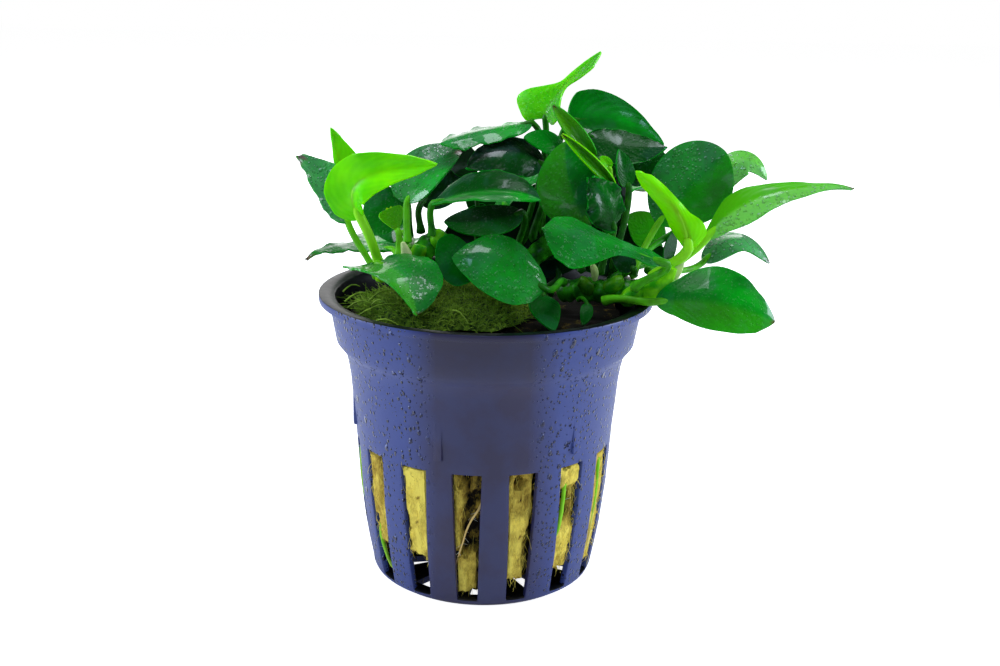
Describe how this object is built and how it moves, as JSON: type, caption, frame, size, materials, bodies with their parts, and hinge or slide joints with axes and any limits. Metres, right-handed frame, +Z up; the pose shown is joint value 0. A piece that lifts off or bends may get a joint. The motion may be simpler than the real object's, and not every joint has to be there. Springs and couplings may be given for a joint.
{
  "type": "potted aquarium plant",
  "caption": "Petite anubias growing on creeping rhizomes over a rock wool plug with moss, in a slotted indigo net pot.",
  "frame": {"origin": "centre of the pot's foot, on the surface that the pot stands on", "axes": "+Z up out of the pot, +X to the right of the front view, where the longest leaf points, +Y to the back"},
  "size_m": [0.089, 0.0606, 0.0873],
  "materials": {
    "indigo_polypropylene": "satin, wet",
    "rock_wool": "matt, fibrous",
    "moss": "matt, fibrous",
    "rhizome_skin": "satin, ringed",
    "root_skin": "satin",
    "mature_leaf": "glossy, waxy",
    "young_leaf": "glossy, thin, lets light through"
  },
  "bodies": {
    "root": {"net_pot": "indigo_polypropylene", "rock_wool_plug": "rock_wool", "moss_mound": "moss", "root_left_side": "root_skin", "root_left_front": "root_skin", "root_front": "root_skin", "root_right_front": "root_skin", "root_right_side": "root_skin", "rhizome_right": "rhizome_skin", "rhizome_left": "rhizome_skin", "rhizome_middle": "rhizome_skin", "leaf_left_young": "young_leaf", "leaf_left_upright_young": "young_leaf", "leaf_left_outer": "mature_leaf", "leaf_left_low": "mature_leaf", "leaf_front_left": "mature_leaf", "leaf_left_arched": "mature_leaf", "leaf_left_shaded": "mature_leaf", "leaf_left_inner": "mature_leaf", "leaf_left_low_inner": "mature_leaf", "leaf_left_hanging": "mature_leaf", "leaf_left_small_back": "mature_leaf", "leaf_left_small_front": "young_leaf", "leaf_back_left_low": "mature_leaf", "leaf_top_left_flat": "mature_leaf", "leaf_middle_dark": "mature_leaf", "leaf_middle_low": "mature_leaf", "leaf_middle_hidden": "mature_leaf", "leaf_top_young": "young_leaf", "leaf_top_right_tall": "mature_leaf", "leaf_top_right_front": "mature_leaf", "leaf_top_narrow": "mature_leaf", "leaf_middle_bud": "young_leaf", "leaf_back_left": "mature_leaf", "leaf_back_middle": "mature_leaf", "leaf_back_right": "mature_leaf", "leaf_back_low": "mature_leaf", "leaf_back_right_low": "mature_leaf", "leaf_back_left_inner": "mature_leaf", "leaf_front_glossy": "mature_leaf", "leaf_middle_round": "mature_leaf", "leaf_middle_folded": "mature_leaf", "leaf_middle_narrow": "young_leaf", "leaf_middle_blue_edge": "mature_leaf", "leaf_pot_front": "mature_leaf", "leaf_pot_sprout": "mature_leaf", "leaf_right_glossy": "mature_leaf", "leaf_right_under": "mature_leaf", "leaf_right_low": "mature_leaf", "leaf_right_long": "mature_leaf", "leaf_right_round": "mature_leaf", "leaf_right_rolled_young": "young_leaf", "leaf_right_back_high": "mature_leaf", "leaf_right_back_low": "mature_leaf", "leaf_right_shaded": "mature_leaf", "leaf_right_edge_on": "mature_leaf"}
  },
  "joints": []
}
